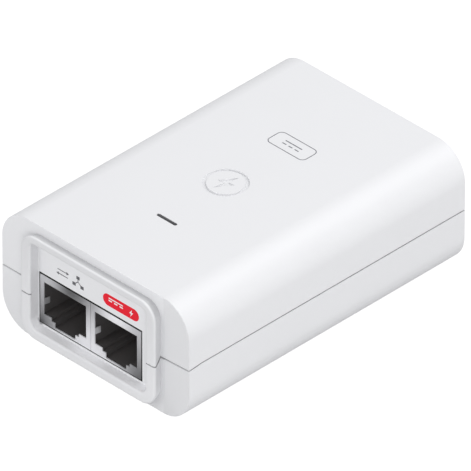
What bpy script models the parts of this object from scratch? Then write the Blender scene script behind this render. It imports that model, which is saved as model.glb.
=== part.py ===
"""PoE injector: a welded two-part case round two shielded 8P8C jacks, a small power supply and a mains inlet.

Metres, +Z up. The origin is under the middle of the footprint. The jacks face -Y and the mains inlet faces +Y.
"""

import math

import bmesh
import bpy
from mathutils import Vector

# Clearance between neighbouring pieces.
GAP = 0.0003
# How far a cutter runs past the surface that it opens.
OVERRUN = 0.001

# Case: a rounded-rectangle tube with closed, softly rounded ends.
CASE_WIDTH = 0.0584
CASE_HEIGHT = 0.0312
CASE_LENGTH = 0.0863
CASE_CORNER_RADIUS = 0.0082
CASE_END_RADIUS = 0.0005
CASE_WALL = 0.0020
FRONT_WALL = 0.0016
SEAM_HEIGHT = 0.0157

# Raised frame round the ports, and the recess inside it.
LIP_DEPTH = 0.0025
LIP_WIDTH = 0.0424
LIP_BOTTOM = 0.00185
LIP_TOP = 0.0294
LIP_CORNER_RADIUS = 0.0036
LIP_EDGE_RADIUS = 0.0005
LIP_SEAM_HEIGHT = 0.0135
RECESS_DEPTH = 0.0028
RECESS_WIDTH = 0.0360
RECESS_BOTTOM = 0.0046
RECESS_TOP = 0.0274
RECESS_CORNER_RADIUS = 0.0012

# The whole object runs from the lip's face to the rear wall, with the origin in the middle.
LENGTH = CASE_LENGTH + LIP_DEPTH
LIP_FACE_Y = -LENGTH / 2
FRONT_Y = LIP_FACE_Y + LIP_DEPTH
REAR_Y = LENGTH / 2
FLOOR_Y = LIP_FACE_Y + RECESS_DEPTH
CAVITY_FRONT_Y = FLOOR_Y + FRONT_WALL
CAVITY_REAR_Y = REAR_Y - CASE_WALL

# Board.
BOARD_WIDTH = 0.0480
BOARD_THICKNESS = 0.0016
BOARD_TOP = 0.0048
BOARD_FRONT_Y = CAVITY_FRONT_Y + 0.0004
BOARD_REAR_Y = CAVITY_REAR_Y - 0.0008
BOARD_BOTTOM = BOARD_TOP - BOARD_THICKNESS
SEAT = BOARD_TOP + GAP

# Shielded jacks, 8P8C with the latch side down. They stand left of the middle of the recess.
JACK_WIDTH = 0.0157
JACK_HEIGHT = 0.01295
JACK_DEPTH = 0.0185
JACK_SPACING = 0.0002
JACK_BLOCK_CENTRE_X = -0.0018
JACK_BOTTOM = 0.00515
SHIELD_THICKNESS = 0.00025
PORT_HALF_WIDTH = 0.0066
PORT_BOTTOM = 0.0026
PORT_TOP = 0.01125
SHOULDER_HALF_WIDTH = 0.0043
SHOULDER_BOTTOM = 0.00175
KEYWAY_HALF_WIDTH = 0.003175
KEYWAY_BOTTOM = 0.00055
PORT_DEPTH = 0.0140
SHIELD_TAB_BOTTOM = 0.0051
SHIELD_TAB_TOP = 0.0067
SHIELD_TAB_LENGTH = 0.0026

# Spring wires: a hairpin at the front of each insert, then a slope down towards the back of the port.
CONTACT_COUNT = 8
CONTACT_PITCH = 0.001016
WIRE_THICKNESS = 0.00035
HAIRPIN_RADIUS = 0.0005
CONTACT_PIVOT_Y = 0.0042
CONTACT_PIVOT_Z = 0.01095
CONTACT_REACH = 0.0087
CONTACT_SLOPE = math.radians(24)

# Mains inlet of the common three-pin appliance kind.
INLET_WIDTH = 0.0275
INLET_HEIGHT = 0.0200
INLET_DEPTH = 0.0160
INLET_CHAMFER = 0.0045
INLET_CENTRE_Z = 0.0156
INLET_FACE_Y = REAR_Y - 0.0003
SOCKET_WIDTH = 0.0242
SOCKET_HEIGHT = 0.0164
SOCKET_CHAMFER = 0.0038
SOCKET_DEPTH = 0.0140
PIN_WIDTH = 0.0020
PIN_HEIGHT = 0.0040
PIN_RECESS = 0.0020
PIN_TAIL = 0.0008
LINE_PIN_OFFSET = 0.0070
PIN_RISE = 0.0020

# Status light.
SLOT_LENGTH = 0.0064
SLOT_WIDTH = 0.0013
LIGHT_LENGTH = 0.0059
LIGHT_WIDTH = 0.0008
LIGHT_X = 0.0008
LIGHT_Y = -0.0204
LED_HEIGHT = 0.0011

FINISHES = {
    "white_plastic": ((0.80, 0.81, 0.82), 0.40, 0.0),
    "black_plastic": ((0.012, 0.012, 0.013), 0.45, 0.0),
    "smoked_lens": ((0.10, 0.10, 0.105), 0.25, 0.0),
    "tinned_steel": ((0.55, 0.56, 0.58), 0.35, 1.0),
    "gold_plate": ((0.85, 0.62, 0.28), 0.25, 1.0),
    "brass": ((0.78, 0.62, 0.32), 0.30, 1.0),
    "green_board": ((0.02, 0.16, 0.07), 0.50, 0.0),
    "fibre_sheet": ((0.62, 0.58, 0.46), 0.70, 0.0),
    "clear_led": ((0.85, 0.84, 0.78), 0.25, 0.0),
    "yellow_film": ((0.75, 0.55, 0.08), 0.45, 0.0),
    "blue_ceramic": ((0.05, 0.15, 0.42), 0.40, 0.0),
    "ferrite": ((0.045, 0.045, 0.05), 0.60, 0.0),
    "enamelled_copper": ((0.55, 0.22, 0.08), 0.30, 0.6),
    "black_sleeve": ((0.02, 0.02, 0.025), 0.35, 0.0),
    "aluminium": ((0.80, 0.80, 0.82), 0.40, 1.0),
    "yellow_tape": ((0.80, 0.62, 0.10), 0.50, 0.0),
}


def finish(name):
    """The material of that name, made the first time it is asked for."""
    material = bpy.data.materials.get(name)
    if material:
        return material
    colour, roughness, metallic = FINISHES[name]
    material = bpy.data.materials.new(name)
    material.use_nodes = True
    shader = material.node_tree.nodes["Principled BSDF"]
    shader.inputs["Base Color"].default_value = (*colour, 1.0)
    shader.inputs["Roughness"].default_value = roughness
    shader.inputs["Metallic"].default_value = metallic
    return material


def clear_scene():
    for obj in list(bpy.data.objects):
        bpy.data.objects.remove(obj, do_unlink=True)


def add_object(name, bm, finish_name, parent=None, location=(0, 0, 0)):
    """A linked object from a bmesh, its faces pointing out and its round faces smooth."""
    bmesh.ops.recalc_face_normals(bm, faces=bm.faces)
    mesh = bpy.data.meshes.new(name)
    bm.to_mesh(mesh)
    bm.free()
    mesh.shade_smooth()
    mesh.set_sharp_from_angle(angle=math.radians(35))
    obj = bpy.data.objects.new(name, mesh)
    bpy.context.scene.collection.objects.link(obj)
    obj.data.materials.append(finish(finish_name))
    obj.parent = parent
    obj.location = location
    return obj


def add_frame(name, location):
    """An empty that other pieces hang from."""
    frame = bpy.data.objects.new(name, None)
    bpy.context.scene.collection.objects.link(frame)
    frame.location = location
    return frame


def loft(rings):
    """A closed bmesh through rings of equally many points, with flat ends."""
    bm = bmesh.new()
    loops = [[bm.verts.new(point) for point in ring] for ring in rings]
    for near, far in zip(loops, loops[1:]):
        for i in range(len(near)):
            j = (i + 1) % len(near)
            bm.faces.new((near[i], near[j], far[j], far[i]))
    bm.faces.new(loops[0])
    bm.faces.new(reversed(loops[-1]))
    return bm


def box(low, high):
    """A bmesh box between two corners."""
    corners = ((low[0], low[1]), (high[0], low[1]), (high[0], high[1]), (low[0], high[1]))
    return loft([[(x, y, z) for x, y in corners] for z in (low[2], high[2])])


def block(centre, size):
    """A bmesh box that stands on a point: its centre in X and Y, its underside in Z."""
    x, y, z = centre
    width, depth, height = size
    return box((x - width / 2, y - depth / 2, z), (x + width / 2, y + depth / 2, z + height))


def prism_along_y(outline, front, rear):
    """A bmesh with an (x, z) outline, from front to rear."""
    return loft([[(x, y, z) for x, z in outline] for y in (front, rear)])


def turned(axis, base, profile, steps=24):
    """A bmesh turned about an axis: profile lists (distance along the axis, radius)."""
    along = Vector(axis)
    side = Vector((0, 0, 1)) if abs(along.z) < 0.5 else Vector((1, 0, 0))
    across = along.cross(side)
    rings = []
    for distance, radius in profile:
        centre = Vector(base) + along * distance
        angles = [2 * math.pi * i / steps for i in range(steps)]
        rings.append([centre + (side * math.cos(a) + across * math.sin(a)) * radius for a in angles])
    return loft(rings)


def rounded_rectangle(width, bottom, top, radius, steps):
    """(x, z) points round a rectangle that is centred in X, with arcs of steps + 1 points."""
    half = width / 2 - radius
    corners = ((half, top - radius), (-half, top - radius), (-half, bottom + radius), (half, bottom + radius))
    points = []
    for quarter, (x, z) in enumerate(corners):
        for i in range(steps + 1):
            angle = math.pi / 2 * (quarter + i / steps)
            points.append((x + radius * math.cos(angle), z + radius * math.sin(angle)))
    return points


def rounded_end(width, bottom, top, corner, edge, face_y, inward, arc_steps, edge_steps=3):
    """Rings that round off one end of a tube over the edge radius, from its face to its full outline."""
    rings = []
    for i in range(edge_steps + 1):
        angle = math.pi / 2 * i / edge_steps
        inset = edge * (1 - math.sin(angle))
        y = face_y + inward * edge * (1 - math.cos(angle))
        outline = rounded_rectangle(width - 2 * inset, bottom + inset, top - inset, corner - inset, arc_steps)
        rings.append([(x, y, z) for x, z in outline])
    return rings


def change(target, helper_name, helper, operation):
    """A Boolean on the target with a hidden helper solid."""
    tool = add_object(helper_name, helper, "white_plastic", target.parent, target.location)
    tool.hide_render = True
    tool.display_type = "WIRE"
    modifier = target.modifiers.new(helper_name, "BOOLEAN")
    modifier.operation = operation
    modifier.solver = "EXACT"
    modifier.object = tool


def cut(target, helper_name, helper):
    change(target, f"{target.name}.cut_{helper_name}", helper, "DIFFERENCE")


def join(target, helper_name, helper):
    change(target, f"{target.name}.add_{helper_name}", helper, "UNION")


def case_envelope():
    """The outside of the case without its lip."""
    arc_steps = 8
    sizes = (CASE_WIDTH, 0.0, CASE_HEIGHT, CASE_CORNER_RADIUS, CASE_END_RADIUS)
    front = rounded_end(*sizes, FRONT_Y, 1, arc_steps)
    rear = rounded_end(*sizes, REAR_Y, -1, arc_steps)
    return loft(front + rear[::-1])


def lip_solid():
    """The raised frame, filled, running back into the front wall."""
    arc_steps = 5
    sizes = (LIP_WIDTH, LIP_BOTTOM, LIP_TOP, LIP_CORNER_RADIUS, LIP_EDGE_RADIUS)
    rings = rounded_end(*sizes, LIP_FACE_Y, 1, arc_steps, edge_steps=2)
    buried_y = FLOOR_Y + FRONT_WALL / 2
    rings.append([(x, buried_y, z) for x, y, z in rings[-1]])
    return loft(rings)


def case_cavity():
    width = CASE_WIDTH - 2 * CASE_WALL
    radius = CASE_CORNER_RADIUS - CASE_WALL
    outline = rounded_rectangle(width, CASE_WALL, CASE_HEIGHT - CASE_WALL, radius, 5)
    return prism_along_y(outline, CAVITY_FRONT_Y, CAVITY_REAR_Y)


def port_recess():
    outline = rounded_rectangle(RECESS_WIDTH, RECESS_BOTTOM, RECESS_TOP, RECESS_CORNER_RADIUS, 3)
    return prism_along_y(outline, LIP_FACE_Y - OVERRUN, FLOOR_Y)


def jack_window():
    """The hole in the recess floor, a little larger than the pair of jacks."""
    half = JACK_WIDTH + JACK_SPACING / 2
    left = JACK_BLOCK_CENTRE_X - half - 0.0002
    right = JACK_BLOCK_CENTRE_X + half + GAP
    top = JACK_BOTTOM + JACK_HEIGHT + GAP
    return box((left, FLOOR_Y - GAP, JACK_BOTTOM - GAP), (right, CAVITY_FRONT_Y + OVERRUN, top))


def inlet_outline(width, height, chamfer, grow=0.0):
    """(x, z) points of the appliance-inlet shape: two corners cut off on the side of the earth pin."""
    half = width / 2 + grow
    bottom = INLET_CENTRE_Z - height / 2 - grow
    top = INLET_CENTRE_Z + height / 2 + grow
    return (
        (-half, bottom),
        (half, bottom),
        (half, top - chamfer),
        (half - chamfer, top),
        (-half + chamfer, top),
        (-half, top - chamfer),
    )


def inlet_window():
    outline = inlet_outline(INLET_WIDTH, INLET_HEIGHT, INLET_CHAMFER, grow=GAP)
    return prism_along_y(outline, CAVITY_REAR_Y - OVERRUN, REAR_Y + OVERRUN)


def half_cutter(shift, limit_z):
    """Everything on one side of the stepped parting line, which drops where it crosses the lip."""
    reach_y = LENGTH
    reach_x = CASE_WIDTH
    step = (
        (-reach_y, LIP_SEAM_HEIGHT + shift),
        (FRONT_Y - OVERRUN, LIP_SEAM_HEIGHT + shift),
        (FRONT_Y, SEAM_HEIGHT + shift),
        (reach_y, SEAM_HEIGHT + shift),
        (reach_y, limit_z),
        (-reach_y, limit_z),
    )
    return loft([[(x, y, z) for y, z in step] for x in (-reach_x, reach_x)])


def open_case(shell):
    """Turns a filled envelope into the hollow case with its windows."""
    join(shell, "lip", lip_solid())
    cut(shell, "cavity", case_cavity())
    cut(shell, "recess", port_recess())
    cut(shell, "jack_window", jack_window())
    cut(shell, "inlet_window", inlet_window())


def make_top_shell():
    shell = add_object("top_shell", case_envelope(), "white_plastic")
    open_case(shell)
    cut(shell, "lower_half", half_cutter(GAP / 2, -CASE_HEIGHT))
    ceiling = CASE_HEIGHT - CASE_WALL
    slot_low = (LIGHT_X - SLOT_LENGTH / 2, LIGHT_Y - SLOT_WIDTH / 2, ceiling - OVERRUN)
    slot_high = (LIGHT_X + SLOT_LENGTH / 2, LIGHT_Y + SLOT_WIDTH / 2, CASE_HEIGHT + OVERRUN)
    cut(shell, "light_slot", box(slot_low, slot_high))
    post_x = 0.0220
    post_size = 0.0025
    for y in (-0.0300, 0.0):
        for side in (-1, 1):
            size = (post_size, post_size, ceiling + CASE_WALL / 2 - SEAT)
            name = f"post_{'left' if side < 0 else 'right'}_{'front' if y < 0 else 'middle'}"
            join(shell, name, block((side * post_x, y, SEAT), size))


def make_bottom_shell():
    shell = add_object("bottom_shell", case_envelope(), "white_plastic")
    open_case(shell)
    cut(shell, "upper_half", half_cutter(-GAP / 2, 2 * CASE_HEIGHT))
    pad_x = 0.0220
    pad_size = (0.0020, 0.0060)
    pad_bottom = CASE_WALL / 2
    pad_height = BOARD_BOTTOM - GAP - pad_bottom
    for y in (-0.0300, 0.0, 0.0300):
        for side in (-1, 1):
            row = {-0.0300: "front", 0.0: "middle", 0.0300: "rear"}[y]
            name = f"pad_{'left' if side < 0 else 'right'}_{row}"
            join(shell, name, block((side * pad_x, y, pad_bottom), (*pad_size, pad_height)))


def make_light_pipe():
    """A bar window in the top, a shoulder under the roof and a stem down to the status light."""
    ceiling = CASE_HEIGHT - CASE_WALL - GAP
    shoulder = (0.0080, 0.0024)
    stem_foot = (0.0026, 0.0014)
    sections = (
        (SEAT + LED_HEIGHT + GAP, stem_foot),
        (ceiling - 0.0030, stem_foot),
        (ceiling - 0.0010, shoulder),
        (ceiling, shoulder),
        (ceiling, (LIGHT_LENGTH, LIGHT_WIDTH)),
        (CASE_HEIGHT - 0.0001, (LIGHT_LENGTH, LIGHT_WIDTH)),
    )
    rings = []
    for z, (length, width) in sections:
        x, y = length / 2, width / 2
        rings.append([(-x, -y, z), (x, -y, z), (x, y, z), (-x, y, z)])
    add_object("led_light_pipe", loft(rings), "smoked_lens", location=(LIGHT_X, LIGHT_Y, 0))


def make_board():
    low = (-BOARD_WIDTH / 2, BOARD_FRONT_Y, BOARD_BOTTOM)
    high = (BOARD_WIDTH / 2, BOARD_REAR_Y, BOARD_TOP)
    add_object("main_pcb", box(low, high), "green_board")
    sheet_half_width = 0.0203
    sheet_bottom = CASE_WALL + GAP
    sheet_thickness = 0.0004
    low = (-sheet_half_width, BOARD_FRONT_Y + 0.0015, sheet_bottom)
    high = (sheet_half_width, BOARD_REAR_Y - 0.0015, sheet_bottom + sheet_thickness)
    add_object("insulating_sheet", box(low, high), "fibre_sheet")
    led_size = (0.0032, 0.0016, LED_HEIGHT)
    add_object("status_led", block((LIGHT_X, LIGHT_Y, SEAT), led_size), "clear_led")


def port_outline(side_grow=0.0, end_grow=0.0):
    """(x, z) points of a port: the plug's body with two steps down to the latch's keyway."""
    steps = (
        (PORT_HALF_WIDTH + side_grow, PORT_TOP + end_grow, PORT_BOTTOM - end_grow),
        (SHOULDER_HALF_WIDTH + side_grow, None, SHOULDER_BOTTOM - end_grow),
        (KEYWAY_HALF_WIDTH + side_grow, None, KEYWAY_BOTTOM - end_grow),
    )
    right = []
    level = steps[0][1]
    for half, _top, bottom in steps:
        right.append((half, level))
        right.append((half, bottom))
        level = bottom
    left = [(-x, z) for x, z in reversed(right)]
    return right + left


def make_jack_shield(port, frame):
    """The sheet-metal can: closed in front but for the port, open underneath, with two folded-in spring tabs."""
    half = JACK_WIDTH / 2
    wall = SHIELD_THICKNESS
    shield = add_object(f"{port}_jack_shield", box((-half, 0, 0), (half, JACK_DEPTH, JACK_HEIGHT)), "tinned_steel", frame)
    inner_low = (-half + wall, wall, -OVERRUN)
    inner_high = (half - wall, JACK_DEPTH - wall, JACK_HEIGHT - wall)
    cut(shield, "inside", box(inner_low, inner_high))
    cut(shield, "port", prism_along_y(port_outline(), -OVERRUN, 3 * wall))
    for side in (-1, 1):
        inner_x = side * (PORT_HALF_WIDTH - wall)
        outer_x = side * PORT_HALF_WIDTH
        root_x = side * (PORT_HALF_WIDTH + wall)
        name = "left" if side < 0 else "right"
        low = (min(inner_x, root_x), wall * 0.2, SHIELD_TAB_BOTTOM)
        high = (max(inner_x, root_x), wall * 0.8, SHIELD_TAB_TOP)
        join(shield, f"tab_root_{name}", box(low, high))
        low = (min(inner_x, outer_x), wall * 0.5, SHIELD_TAB_BOTTOM + wall * 0.2)
        high = (max(inner_x, outer_x), SHIELD_TAB_LENGTH, SHIELD_TAB_TOP - wall * 0.2)
        join(shield, f"tab_{name}", box(low, high))


def make_jack_housing(port, frame):
    """The moulded body inside the can, with the port and a pocket over it for the wire insert."""
    inset = SHIELD_THICKNESS + GAP
    half = JACK_WIDTH / 2 - inset
    low = (-half, inset, 0)
    high = (half, JACK_DEPTH - inset, JACK_HEIGHT - inset)
    housing = add_object(f"{port}_jack_housing", box(low, high), "black_plastic", frame)
    outline = port_outline(side_grow=0.0003, end_grow=0.0001)
    cut(housing, "port", prism_along_y(outline, -OVERRUN, PORT_DEPTH))
    pocket_half = 0.0046
    pocket_low = (-pocket_half, 0.0020, PORT_TOP - OVERRUN)
    pocket_high = (pocket_half, PORT_DEPTH, JACK_HEIGHT)
    cut(housing, "pocket", box(pocket_low, pocket_high))


def make_contact_insert(port, frame):
    """The carrier that closes the pocket, with a nose in front of the wires."""
    half = 0.0043
    front = 0.0023
    rear = PORT_DEPTH - GAP
    top = JACK_HEIGHT - SHIELD_THICKNESS - GAP
    plate_bottom = 0.0119
    nose_rear = 0.0032
    outline = (
        (front, CONTACT_PIVOT_Z),
        (nose_rear, CONTACT_PIVOT_Z),
        (nose_rear, plate_bottom),
        (rear, plate_bottom),
        (rear, top),
        (front, top),
    )
    bm = loft([[(x, y, z) for y, z in outline] for x in (-half, half)])
    add_object(f"{port}_contact_insert", bm, "black_plastic", frame)


def contact_path():
    """(y, z) points of a wire about its pivot: a short tail, a half-turn hairpin and the long sloping spring."""
    points = [(0.0012, HAIRPIN_RADIUS)]
    turn_steps = 6
    turn = math.pi - CONTACT_SLOPE
    for i in range(turn_steps + 1):
        angle = math.pi / 2 + turn * i / turn_steps
        points.append((HAIRPIN_RADIUS * math.cos(angle), HAIRPIN_RADIUS * math.sin(angle)))
    y, z = points[-1]
    points.append((y + CONTACT_REACH * math.cos(CONTACT_SLOPE), z - CONTACT_REACH * math.sin(CONTACT_SLOPE)))
    return points


def make_contact(name, pivot, x):
    """One square spring wire, swept along its path."""
    half = WIRE_THICKNESS / 2
    points = [Vector((0, y, z)) for y, z in contact_path()]
    rings = []
    for i, point in enumerate(points):
        before = points[max(i - 1, 0)]
        after = points[min(i + 1, len(points) - 1)]
        along = (after - before).normalized()
        across = Vector((0, -along.z, along.y))
        corners = ((-half, -half), (half, -half), (half, half), (-half, half))
        rings.append([point + Vector((side, 0, 0)) + across * rise for side, rise in corners])
    add_object(name, loft(rings), "gold_plate", pivot, (x, 0, 0))


def make_jack(port, side):
    centre_x = JACK_BLOCK_CENTRE_X + side * (JACK_WIDTH + JACK_SPACING) / 2
    frame = add_frame(f"{port}_jack", (centre_x, FLOOR_Y, JACK_BOTTOM))
    make_jack_shield(port, frame)
    make_jack_housing(port, frame)
    make_contact_insert(port, frame)
    pivot_place = (centre_x, FLOOR_Y + CONTACT_PIVOT_Y, JACK_BOTTOM + CONTACT_PIVOT_Z)
    pivot = add_frame(f"{port}_contacts", pivot_place)
    for i in range(CONTACT_COUNT):
        x = (i - (CONTACT_COUNT - 1) / 2) * CONTACT_PITCH
        make_contact(f"{port}_contact_{i + 1}", pivot, x)


def make_inlet():
    outline = inlet_outline(INLET_WIDTH, INLET_HEIGHT, INLET_CHAMFER)
    back_y = INLET_FACE_Y - INLET_DEPTH
    housing = add_object("ac_inlet_housing", prism_along_y(outline, back_y, INLET_FACE_Y), "black_plastic")
    socket = inlet_outline(SOCKET_WIDTH, SOCKET_HEIGHT, SOCKET_CHAMFER)
    cut(housing, "socket", prism_along_y(socket, INLET_FACE_Y - SOCKET_DEPTH, INLET_FACE_Y + OVERRUN))
    pins = {
        "line": (-LINE_PIN_OFFSET, -PIN_RISE),
        "neutral": (LINE_PIN_OFFSET, -PIN_RISE),
        "earth": (0, PIN_RISE),
    }
    tip_y = INLET_FACE_Y - PIN_RECESS
    tail_y = back_y - PIN_TAIL
    for name, (x, rise) in pins.items():
        bottom = INLET_CENTRE_Z + rise - PIN_HEIGHT / 2
        low = (x - PIN_WIDTH / 2, tail_y, bottom)
        high = (x + PIN_WIDTH / 2, tip_y, bottom + PIN_HEIGHT)
        add_object(f"inlet_pin_{name}", box(low, high), "brass")
        low = (low[0] - GAP, back_y - OVERRUN, low[2] - GAP)
        high = (high[0] + GAP, INLET_FACE_Y - SOCKET_DEPTH + OVERRUN, high[2] + GAP)
        cut(housing, f"pin_{name}", box(low, high))


def make_can(name, place, radius, height, finish_name):
    """An upright electrolytic can with a rolled groove near its foot."""
    groove = 0.0004
    profile = (
        (0, radius - groove),
        (0.0004, radius),
        (0.0014, radius),
        (0.0018, radius - groove),
        (0.0022, radius),
        (height - 0.0004, radius),
        (height, radius - groove),
    )
    add_object(name, turned((0, 0, 1), (*place, SEAT), profile), finish_name)


def make_disc(name, centre, axis, radius, thickness, finish_name):
    """A dipped disc that stands on its edge, crowned on both faces."""
    shoulder = thickness * 0.25
    profile = (
        (-thickness / 2, radius * 0.7),
        (-thickness / 2 + shoulder, radius * 0.93),
        (-shoulder / 2, radius),
        (shoulder / 2, radius),
        (thickness / 2 - shoulder, radius * 0.93),
        (thickness / 2, radius * 0.7),
    )
    add_object(name, turned(axis, (*centre, SEAT + radius), profile), finish_name)


def make_mains_side():
    fuse_radius = 0.0042
    fuse_profile = ((0, fuse_radius), (0.0076, fuse_radius), (0.0080, fuse_radius - 0.0004))
    add_object("fuse", turned((0, 0, 1), (-0.0195, 0.0350, SEAT), fuse_profile), "black_plastic")
    make_disc("varistor", (-0.0190, 0.0245), (0, 1, 0), 0.0045, 0.0036, "blue_ceramic")
    add_object("x_capacitor", block((0.0193, 0.0325, SEAT), (0.0084, 0.0175, 0.0140)), "yellow_film")
    add_object("bridge_rectifier", block((-0.0082, 0.0205, SEAT), (0.0034, 0.0090, 0.0100)), "black_plastic")
    make_can("bulk_capacitor", (0.0020, 0.0199), 0.0070, 0.0200, "black_sleeve")


def ring_about_x(centre, inner_radius, outer_radius, width, first_angle, last_angle, steps):
    """A rectangular ring, or an arc of one, about an axis along X."""
    closed = math.isclose(last_angle - first_angle, 2 * math.pi)
    stations = steps if closed else steps + 1
    x, y, z = centre
    rings = []
    for i in range(stations):
        angle = first_angle + (last_angle - first_angle) * i / steps
        ring = []
        corners = ((-1, inner_radius), (1, inner_radius), (1, outer_radius), (-1, outer_radius))
        for side, radius in corners:
            ring.append((x + side * width / 2, y + radius * math.cos(angle), z + radius * math.sin(angle)))
        rings.append(ring)
    if not closed:
        return loft(rings)
    bm = bmesh.new()
    loops = [[bm.verts.new(point) for point in ring] for ring in rings]
    for i, near in enumerate(loops):
        far = loops[(i + 1) % stations]
        for j in range(4):
            k = (j + 1) % 4
            bm.faces.new((near[j], near[k], far[k], far[j]))
    return bm


def make_line_choke():
    """A ferrite ring on edge with a coil wound on each half of it."""
    core_inner = 0.0035
    core_outer = 0.0068
    core_width = 0.0050
    wind = 0.0014
    clear = GAP
    centre = (-0.0170, 0.0130, SEAT + core_outer + clear + wind)
    turn = 2 * math.pi
    steps = 24
    core = ring_about_x(centre, core_inner, core_outer, core_width, 0, turn, steps)
    add_object("line_choke_core", core, "ferrite")
    coil_inner = core_inner - clear - wind
    coil_outer = core_outer + clear + wind
    coil_width = core_width + 2 * (clear + wind)
    half_arc = math.radians(65)
    for name, middle in (("front", math.pi), ("rear", 0.0)):
        arc = (middle - half_arc, middle + half_arc, 10)
        coil = add_object(
            f"line_choke_coil_{name}",
            ring_about_x(centre, coil_inner, coil_outer, coil_width, *arc),
            "enamelled_copper",
        )
        tunnel = ring_about_x(
            centre, core_inner - clear, core_outer + clear, core_width + 2 * clear, 0, turn, steps
        )
        cut(coil, "tunnel", tunnel)


def make_transformer():
    """An E-core frame with a flanged bobbin and a taped winding on its middle leg."""
    x, y = 0.0, 0.0045
    core_width = 0.0210
    core_depth = 0.0065
    core_height = 0.0180
    yoke = 0.0035
    leg = 0.0065
    window = 0.0040
    core_bottom = SEAT + 0.0005
    window_bottom = core_bottom + yoke
    window_top = core_bottom + core_height - yoke
    core = add_object(
        "transformer_core", block((x, y, core_bottom), (core_width, core_depth, core_height)), "ferrite"
    )
    for name, side in (("left", -1), ("right", 1)):
        window_x = x + side * (leg + window) / 2
        size = (window, core_depth + 2 * OVERRUN, window_top - window_bottom)
        cut(core, f"window_{name}", block((window_x, y, window_bottom), size))
    flange = 0.0010
    tube_wall = 0.0008
    tube_hole = leg + 2 * GAP
    tube_hole_depth = core_depth + 2 * GAP
    flange_width = leg + 2 * window - 2 * GAP
    flange_depth = 0.0162
    bottom = window_bottom + GAP
    top = window_top - GAP
    tube_size = (tube_hole + 2 * tube_wall, tube_hole_depth + 2 * tube_wall)
    bobbin = add_object(
        "transformer_bobbin", block((x, y, bottom), (*tube_size, top - bottom)), "black_plastic"
    )
    join(bobbin, "flange_low", block((x, y, bottom), (flange_width, flange_depth, flange)))
    join(bobbin, "flange_high", block((x, y, top - flange), (flange_width, flange_depth, flange)))
    hole_size = (tube_hole, tube_hole_depth, core_height)
    cut(bobbin, "leg_hole", block((x, y, core_bottom), hole_size))
    winding_bottom = bottom + flange + GAP
    winding_height = top - flange - GAP - winding_bottom
    winding = add_object(
        "transformer_winding",
        block((x, y, winding_bottom), (flange_width - 2 * GAP, flange_depth - 0.0010, winding_height)),
        "yellow_tape",
    )
    tunnel_size = (tube_size[0] + 2 * GAP, tube_size[1] + 2 * GAP, core_height)
    cut(winding, "tunnel", block((x, y, core_bottom), tunnel_size))


def make_power_transistor():
    """A tabbed transistor screwed to an upright aluminium plate."""
    plate_x = 0.0168
    plate_thickness = 0.0015
    plate_y = 0.0115
    plate_length = 0.0170
    plate_height = 0.0185
    sink = add_object(
        "heat_sink", block((plate_x, plate_y, SEAT), (plate_thickness, plate_length, plate_height)), "aluminium"
    )
    tab_thickness = 0.0013
    body_thickness = 0.0042
    body_height = 0.0090
    tab_height = 0.0150
    width = 0.0100
    tab_x = plate_x - plate_thickness / 2 - GAP - tab_thickness / 2
    body_x = plate_x - plate_thickness / 2 - GAP - body_thickness / 2
    transistor = add_object(
        "power_transistor", block((body_x, plate_y, SEAT), (body_thickness, width, body_height)), "black_plastic"
    )
    join(transistor, "tab", block((tab_x, plate_y, SEAT + OVERRUN), (tab_thickness, width, tab_height - OVERRUN)))
    hole_z = SEAT + 0.0122
    shaft_radius = 0.0014
    head_radius = 0.0027
    head_thickness = 0.0016
    hole_profile = ((-0.0040, shaft_radius + GAP), (0.0040, shaft_radius + GAP))
    cut(transistor, "hole", turned((1, 0, 0), (tab_x, plate_y, hole_z), hole_profile, 16))
    cut(sink, "hole", turned((1, 0, 0), (plate_x, plate_y, hole_z), hole_profile, 16))
    head_x = tab_x - tab_thickness / 2 - GAP - head_thickness
    shaft_end = plate_x + plate_thickness / 2 + 0.0010 - head_x
    screw_profile = (
        (0, head_radius * 0.75),
        (head_thickness * 0.5, head_radius),
        (head_thickness, head_radius),
        (head_thickness, shaft_radius),
        (shaft_end, shaft_radius),
    )
    add_object("heat_sink_screw", turned((1, 0, 0), (head_x, plate_y, hole_z), screw_profile, 16), "tinned_steel")


def make_low_voltage_side():
    add_object("controller_chip", block((0.0207, 0.0100, SEAT), (0.0040, 0.0050, 0.0016)), "black_plastic")
    add_object("optocoupler", block((-0.0205, -0.0060, SEAT), (0.0046, 0.0065, 0.0035)), "black_plastic")
    make_disc("y_capacitor", (-0.0145, -0.0050), (1, 0, 0), 0.0040, 0.0035, "blue_ceramic")
    diode_radius = 0.0027
    diode_profile = ((-0.0048, 0.0023), (-0.0044, diode_radius), (0.0044, diode_radius), (0.0048, 0.0023))
    diode_place = (0.0180, -0.0062, SEAT + diode_radius)
    add_object("output_diode", turned((1, 0, 0), diode_place, diode_profile), "black_plastic")
    inductor_profile = (
        (0, 0.0040),
        (0.0012, 0.0040),
        (0.0016, 0.0034),
        (0.0076, 0.0034),
        (0.0080, 0.0040),
        (0.0092, 0.0040),
    )
    add_object("output_inductor", turned((0, 0, 1), (0.0080, -0.0085, SEAT), inductor_profile), "ferrite")
    make_can("output_capacitor_large", (-0.0125, -0.0160), 0.0050, 0.0160, "black_sleeve")
    make_can("output_capacitor_small", (-0.0025, -0.0125), 0.0040, 0.0120, "black_sleeve")
    size = (0.0127, 0.0071, 0.0058)
    add_object("data_line_transformer", block((0.0130, -0.0170, SEAT), size), "black_plastic")


def main():
    clear_scene()
    make_top_shell()
    make_bottom_shell()
    make_light_pipe()
    make_board()
    make_jack("lan", -1)
    make_jack("poe", 1)
    make_inlet()
    make_mains_side()
    make_line_choke()
    make_transformer()
    make_power_transistor()
    make_low_voltage_side()


main()
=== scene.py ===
"""Looks for the PoE injector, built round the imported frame: case mouldings, marks, jacks and mains inlet."""

import math

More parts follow.
